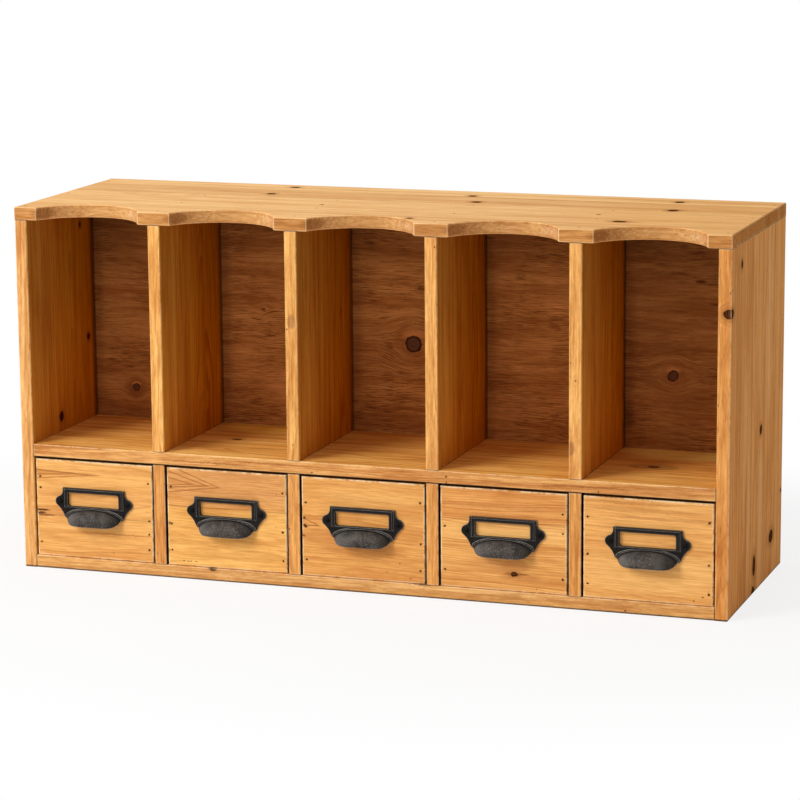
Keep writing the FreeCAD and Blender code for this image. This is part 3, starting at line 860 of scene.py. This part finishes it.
def dress_bottom_and_shelf():
    pine(
        "pine_bottom", "bottom_board", "x", "z", (-140, -40), 5.9, ring=2.0,
        rim_tint=(0.97, 1.02, 1.1), knots=[((-148, FRONT, BOARD + 1), (4, 12, 3.6), 1.0)],
        patches=[((57, FRONT, BOARD), (16, 5, 1.4), (0.1, 0.03, 0.01), 0.8)]
        + streaks(33, 10, "x", (10 - WIDTH / 2, FRONT, 1),
                  (WIDTH / 2 - 10, FRONT + 1, BOARD - 1), (0.9, 2.0)))
    pine(
        "pine_shelf", "middle_shelf", "x", "z", (-40, -46), 9.3, ring=2.0,
        seams=(-66, -20, 12), tint=(1.08, 1.1, 0.84), rim_tint=(0.82, 0.78, 1.08),
        figure=1.5, knots=knots_xy((-152, -35, 5, 3, 0.9), (254, -39, 6, 4, 0.9)),
        patches=[((254, -39, SHELF_TOP), (27, 13, 60), (0.3, 0.115, 0.035), 0.7),
                 ((254, -39, SHELF_TOP), (20, 9, 60), (0.7, 0.33, 0.11), 0.8),
                 # painted light: paler patches at the back of the shelf in bays 2 and 5
                 ((-133, 24, SHELF_TOP), (62, 34, 5), (0.97, 0.64, 0.15), 0.75),
                 ((267, 26, SHELF_TOP), (66, 38, 5), (0.98, 0.7, 0.25), 0.9),
                 ((-150, FRONT, SHELF_BOTTOM + 5), (55, 5, 0.8), (0.36, 0.13, 0.04), 0.7),
                 ((-95, FRONT, SHELF_BOTTOM + 8), (40, 5, 0.8), (0.36, 0.13, 0.04), 0.7),
                 ((210, FRONT, SHELF_BOTTOM + 6), (70, 5, 0.9), (0.4, 0.15, 0.045), 0.6)]
        + streaks(21, 14, "x", (20 - WIDTH / 2, FRONT + 5, SHELF_BOTTOM),
                  (WIDTH / 2 - 20, PANEL_FACE - 5, SHELF_TOP), (2.5, 7.0)),
        # painted shade along the shelf's underside, over the drawers
        gaps=[((0, 0, SHELF_BOTTOM), (THROUGH, THROUGH, 1.0))],
        holes=[((80, FRONT, SHELF_BOTTOM + up), FRONT_DOT) for up in (7, 1.8)])


def dress_dividers():
    """Upper and lower dividers; the tables hold what sets single upper ones apart."""
    wall_tints = {1: (1.08, 1.1, 1.06), 4: (1.2, 1.25, 1.38)}
    front_tints = {2: (1.08, 1.14, 1.15), 4: (0.9, 0.88, 0.8)}
    front_marks = {2: (-67, 248, 134), 4: (196, 147, 208)}    # a stain's x and z, a dot's z
    for number in range(1, BAYS):
        middle = UPRIGHTS[number]
        spread = 37.0 * number
        patches = wall_streaks(60 + number, middle - BOARD / 2, middle + BOARD / 2)
        holes = []
        if number in front_marks:
            stain_x, stain_z, dot_z = front_marks[number]
            patches.append(((stain_x, FRONT, stain_z), (5, 3, 8), (0.34, 0.13, 0.05), 0.65))
            holes.append(((middle, FRONT, dot_z), FRONT_DOT))
        pine(
            f"pine_upper_divider_{number}", f"upper_divider_{number}", "z", "x",
            (-60 + spread % 45, 36 + spread % 31), 17.3 + number * 4.1, ring=2.2,
            figure=1.25, tint=wall_tints.get(number, WHITE),
            rim_tint=front_tints.get(number, WHITE), inner=0, patches=patches, holes=holes,
            seams=(-60 + spread % 17, -8, 20 + spread % 9))
        # Painted shade: the tint darkens the sides, which face into the drawers' gaps, the rim
        # tint brings the front edges back, and the gaps darken the front edges beside the
        # drawers.
        pine(
            f"pine_lower_divider_{number}", f"lower_divider_{number}", "z", "x",
            (-50 + spread % 33, 38), 31.9 + number * 2.7, ring=1.9,
            tint=(0.4, 0.36, 0.32), rim_tint=(2.4, 2.5, 2.7),
            gaps=[((middle + side * BOARD / 2, 0, 0), (0.35, THROUGH, THROUGH))
                  for side in (-1, 1)])


def dress_back_panel():
    """The panel is darker at the right, and painted shade makes it darkest beside each
    upright.
    """
    patches = [((-125, 158), (44, 26), (0.8, 0.36, 0.12), 0.35)]
    patches += dark_marks_and_shade(
        (278, 278, 7, 2.6, 0.9), (293, 256, 10, 1.6, 0.7), (205, 148, 18, 22, 0.5),
        (300, 240, 16, 1.3, 0.6), (-320, 300, 60, 60, 0.35), (215, 330, 60, 45, 0.35),
        (-285, 149, 16, 11, 0.45), (-267, 225, 90, 170, 0.22), (267, 225, 90, 170, 0.32))
    corners = [-WIDTH / 2 + BOARD + number * BAY_PITCH for number in range(BAYS)]
    # Painted shade in the corners beside each upright: a broad dark band and a thin dark
    # strip.
    patches += dark_marks_and_shade(*[(corner, 225, 16, 150, 0.35) for corner in corners])
    patches += [((corner, 225), (2.2, 400), GAP_SHADE, 0.7) for corner in corners]
    plywood("plywood_back", "back_panel", shade_under_top=0.42, pitted=0.8, patches=patches,
            knots=(((-285, 149), 3.6, 1.0), ((1, 206), 8.2, 1.0), ((253, 189), 5.2, 1.0),
                   ((195, 150), 3.0, 0.4), ((-150, 232), 2.0, 0.5)))


def dress_fasteners():
    nails = steel("steel_nails", (0.05, 0.035, 0.028), (0.16, 0.12, 0.1), 0.5)
    for node in ("top_nails", "divider_nails", "back_panel_pins"):
        dress(node, nails)
    pine("beech_dowels", "side_dowels", "x", "z", (0, -60), 2.2, ring=1.4, figure=0.4,
         early=(0.74, 0.56, 0.35), late=(0.62, 0.44, 0.26))


# ---- materials on the drawers ----
# What the photo shows on each drawer front; the names are those of pine's arguments.
DRAWER_FRONTS = {
    # A brown cloud at the left with three dark scratches in it, and flames at the top.
    1: dict(
        pith=(-18, 30), tilt=2, figure=0.8, seams=(52,), tint=(0.95, 0.93, 0.9),
        patches=on_front(
            (-300, 55, 42, 7, (0.62, 0.26, 0.08), 0.55),
            (-270, 70, 90, 9, (0.72, 0.33, 0.11), 0.4),
            (-322, 56, 11, 1.3, (0.05, 0.02, 0.01), 0.9),
            (-325, 53, 9, 1.4, (0.05, 0.02, 0.01), 0.85),
            (-318, 51, 12, 0.9, (0.14, 0.05, 0.02), 0.8),
            (-240, 37, 50, 1.1, (0.46, 0.17, 0.05), 0.6)),
        spikes=(((-267, 92.5), 0.04, 0.1, 0.55), ((-284, 92.8), 0.03, 0.06, 0.45))),
    # A browner top stave with nested flames; two dents and a row of dots at the left.
    2: dict(
        pith=(34, 24), tilt=3, seams=(69,), tint=(1.1, 1.18, 1.12),
        beyond=(0.9, 0.83, 0.9),
        patches=on_front(
            (-133, 92, 90, 22, (0.66, 0.315, 0.125), 0.35),
            (-192, 52, 3, 2, MARK, 0.8),
            (-193, 26, 2.5, 1.6, MARK, 0.8),
            *[(x, 17, 1.3, 0.7, MARK, 0.7) for x in (-177, -173, -170, -165)]),
        spikes=(((-141, 89), 0.36, 0.14, 0.1), ((-153, 90), 0.3, 0.1, 0.1),
                ((-168, 90.5), 0.22, 0.09, 0.1))),
    # Three small knots left of the pull, and one wide flame.
    3: dict(
        pith=(-60, 40), tilt=-3, figure=0.8, tint=(0.99, 0.96, 0.92),
        knots=knots_xz((-57.5, 66.5, 1.6, 1.3, 0.9), (-57, 59, 2.2, 1.3, 0.9),
                       (-58, 50, 1.2, 1.0, 0.8)),
        patches=on_front(
            (23, 21, 0.9, 0.9, MARK, 0.8),
            (45, 16.7, 0.9, 0.9, MARK, 0.8),
            (0, 40, 50, 9, (0.6, 0.25, 0.075), 0.55),
            (-38, 50, 30, 8, (0.62, 0.26, 0.08), 0.5),
            (10, 90, 60, 9, (0.93, 0.56, 0.2), 0.35)),
        spikes=(((-43, 60), 0.4, 0.06, 0.3),)),
    # A knot with a dark streak through it under the pull, and brown lines at the top.
    4: dict(
        pith=(-75, 22), tilt=1, seams=(76,), tint=(0.99, 0.98, 0.96),
        beyond=(0.92, 0.82, 0.78), figure=1.2,
        knots=knots_xz((144, 28, 3.2, 2.3, 1.0)),
        patches=on_front(
            (144, 35, 16, 9, (0.56, 0.225, 0.065), 0.55),
            (146, 28, 15, 1.2, (0.16, 0.055, 0.02), 0.8),
            (133, 90, 100, 4, (0.58, 0.23, 0.07), 0.4),
            (160, 80, 60, 3, (0.56, 0.22, 0.065), 0.5),
            (125, 35, 38, 8, (0.62, 0.26, 0.08), 0.55),
            (150, 25, 24, 4, (0.52, 0.2, 0.06), 0.5),
            (133, 66, 100, 10, (0.93, 0.54, 0.19), 0.45))),
    # Long brown lines above a pale field, and two dots at the lower right.
    5: dict(
        pith=(70, 30), tilt=2, figure=0.75, tint=(1.0, 0.98, 0.96),
        patches=on_front(
            (250, 101, 60, 1.6, (0.52, 0.215, 0.065), 0.6),
            (262, 95, 66, 2.6, (0.55, 0.235, 0.075), 0.5),
            (285, 88, 56, 1.8, (0.56, 0.24, 0.08), 0.5),
            (232, 78, 40, 1.6, (0.6, 0.27, 0.09), 0.45),
            (267, 40, 80, 26, (0.93, 0.55, 0.19), 0.4),
            (309, 16, 0.9, 0.9, MARK, 0.8),
            (317, 20.5, 0.9, 0.9, MARK, 0.8))),
}
# A drawer's other boards: part, axes along the grain and through it, step of the seed.
DRAWER_BOARDS = (("left_side", "y", "x", 9), ("right_side", "y", "x", 10),
                 ("back", "x", "y", 4))


def dress_drawers():
    iron = cast_iron("cast_iron_pull")
    screws = steel("steel_screws", (0.004, 0.003, 0.003), (0.012, 0.01, 0.008), 0.5,
                   bare=0.1)
    brads = steel("steel_brads", (0.012, 0.005, 0.003), (0.04, 0.018, 0.01), 0.7,
                  bare=0.0)
    for bay, looks in DRAWER_FRONTS.items():
        prefix = f"drawer_{bay}_"
        seed = 41.0 + bay * 6.3
        # The rim and end tints darken the front's edges, which face into the gap round the
        # drawer: painted shade, beyond the end grain's own darker colour.
        pine(
            f"pine_drawer_{bay}_front", prefix + "front", "x", "y", seed=seed, ring=2.1,
            holes=heads(prefix + "brads", 1, DRAWER_FACE, HEAD_SPOT), joined=False,
            wear=0.95, rim_tint=(0.45, 0.37, 0.3), end_tint=(0.42, 0.34, 0.27), **looks)
        for part, along, deep, step in DRAWER_BOARDS:
            pine(
                f"pine_{prefix}{part}", prefix + part, along, deep, (20, 40), seed + step,
                early=(0.82, 0.56, 0.3), late=(0.58, 0.32, 0.13))
        plywood(f"plywood_drawer_{bay}", prefix + "bottom")
        dress(prefix + "pull", iron)
        dress(prefix + "pull_screws", screws)
        dress(prefix + "brads", brads)


dress_top_board()
dress_sides()
dress_bottom_and_shelf()
dress_dividers()
dress_back_panel()
dress_fasteners()
dress_drawers()


# ---- floor, light and camera ----
def seen_directly(graph):
    """1 for rays from the camera or from a gloss or glass, 0 for the light itself."""
    rays = graph.node("LightPath", {}).outputs
    seen = graph.most(rays["Is Camera Ray"], rays["Is Glossy Ray"])
    return graph.most(seen, rays["Is Transmission Ray"])


def make_floor():
    """Pale floor that fades into the white background away from the sorter."""
    mesh = bpy.data.meshes.new("floor")
    reach_m = 6.0
    corners_m = [(reach_m * x, reach_m * y, 0)
                 for x, y in ((-1, -1), (1, -1), (1, 1), (-1, 1))]
    mesh.from_pydata(corners_m, [], [(0, 1, 2, 3)])
    floor = bpy.data.objects.new("floor", mesh)
    bpy.context.scene.collection.objects.link(floor)
    material, graph, shader = surface("floor_pale")
    shader.inputs["Base Color"].default_value = (0.93, 0.93, 0.93, 1)
    shader.inputs["Roughness"].default_value = 0.9
    shader.inputs["Specular IOR Level"].default_value = 0.1
    place_m = graph.node("TexCoord", {}).outputs["Object"]
    away_m = graph.length(graph.vector("MULTIPLY", place_m, (0.75, 1.0, 1.0)))
    white_share = graph.ramp(away_m, 0.35, 0.62, FLOOR_WHITE, 1.0)
    white = graph.node("Emission", {"Color": (1, 1, 1, 1), "Strength": 1.0})
    seen = graph.times(white_share, seen_directly(graph))
    blend = graph.node("MixShader", {0: seen, 1: shader.outputs[0], 2: white.outputs[0]})
    output = material.node_tree.nodes["Material Output"]
    graph.feed(output.inputs["Surface"], blend.outputs[0])
    mesh.materials.append(material)


def make_world():
    """Soft sky for the light; plain white where the camera or a gloss sees past the sorter."""
    world = bpy.data.worlds.new("studio")
    bpy.context.scene.world = world
    world.use_nodes = True
    world.node_tree.nodes.clear()
    graph = Graph(world.node_tree)
    soft = graph.node("Background", {"Color": (1.0, 0.99, 0.97, 1), "Strength": 0.36})
    white = graph.node("Background", {"Color": (1, 1, 1, 1), "Strength": 1.0})
    both = graph.node("MixShader", {0: seen_directly(graph), 1: soft.outputs[0],
                                    2: white.outputs[0]})
    graph.node("OutputWorld", {"Surface": both.outputs[0]})


def make_lamp(name, place_m, target_m, size_m, watts):
    """Square lamp that points from its place at the target."""
    data = bpy.data.lights.new(name, "AREA")
    data.shape = "SQUARE"
    data.size = size_m
    data.energy = watts
    lamp = bpy.data.objects.new(name, data)
    lamp.location = place_m
    aim = Vector(target_m) - Vector(place_m)
    lamp.rotation_euler = aim.to_track_quat("-Z", "Y").to_euler()
    bpy.context.scene.collection.objects.link(lamp)


def make_camera():
    """Long lens, from the right of the sorter and a little above it.

    Its place and its turns, in degrees, are those that fit the photo best.
    """
    place_m = (0.93335, -2.71445, 0.72806)
    far_m = 50.0
    left, down, roll = 18.992, 11.217, -0.473
    data = bpy.data.cameras.new("camera")
    data.sensor_width = 36.0
    data.lens = 140.56
    data.clip_end = far_m
    camera = bpy.data.objects.new("camera", data)
    turn = Matrix.Rotation(math.radians(left), 4, "Z")
    turn = turn @ Matrix.Rotation(math.radians(90 - down), 4, "X")
    turn = turn @ Matrix.Rotation(math.radians(roll), 4, "Z")
    camera.matrix_world = Matrix.Translation(place_m) @ turn
    bpy.context.scene.collection.objects.link(camera)
    bpy.context.scene.camera = camera


make_floor()
make_world()
make_lamp("key", (-1.9, -2.3, 1.9), (0, 0, 0.15), 1.5, 80.0)
make_lamp("front_fill", (-0.1, -3.4, 1.0), (0, 0, 0.2), 1.2, 9.0)
make_lamp("top_fill", (0.0, 0.2, 2.6), (0, 0, 0.2), 1.8, 14.0)
make_camera()
bpy.context.scene.view_settings.view_transform = "Standard"
